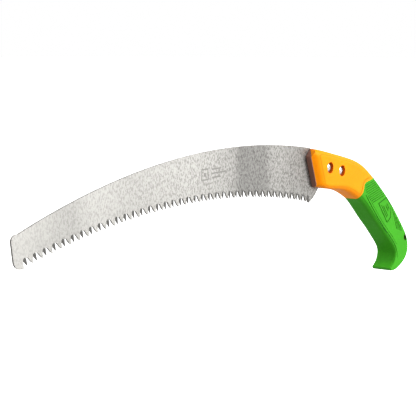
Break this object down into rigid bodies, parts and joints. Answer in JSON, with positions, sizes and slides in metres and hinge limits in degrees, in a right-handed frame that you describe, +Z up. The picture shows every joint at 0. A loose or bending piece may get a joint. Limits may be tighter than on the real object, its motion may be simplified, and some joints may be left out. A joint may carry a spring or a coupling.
{
  "type": "pruning saw",
  "caption": "Curved pull-stroke pruning saw with a bare steel blade screwed into a yellow and green pistol grip.",
  "frame": {"origin": "centre of the hang hole, on the middle plane of the blade", "axes": "+X from the toe of the blade to the back of the grip, along the chord of the tooth line; +Y through the thickness, from the side of the screw heads to the side of the nuts; +Z up, with the teeth facing down"},
  "size_m": [0.4687, 0.0184, 0.1246],
  "materials": {
    "blade_steel": "rolled and clear-lacquered, with ground bevels",
    "dark_core": "fine matt moulding",
    "yellow_shell": "smooth satin moulding",
    "green_grip": "soft satin overmoulding with ribs",
    "bright_screw": "bright zinc"
  },
  "bodies": {
    "root": {"saw_blade": "blade_steel", "handle_core": "dark_core", "front_shell": "yellow_shell", "grip_sleeve": "green_grip", "front_screw": "bright_screw", "rear_screw": "bright_screw", "front_nut": "bright_screw", "rear_nut": "bright_screw"}
  },
  "joints": []
}
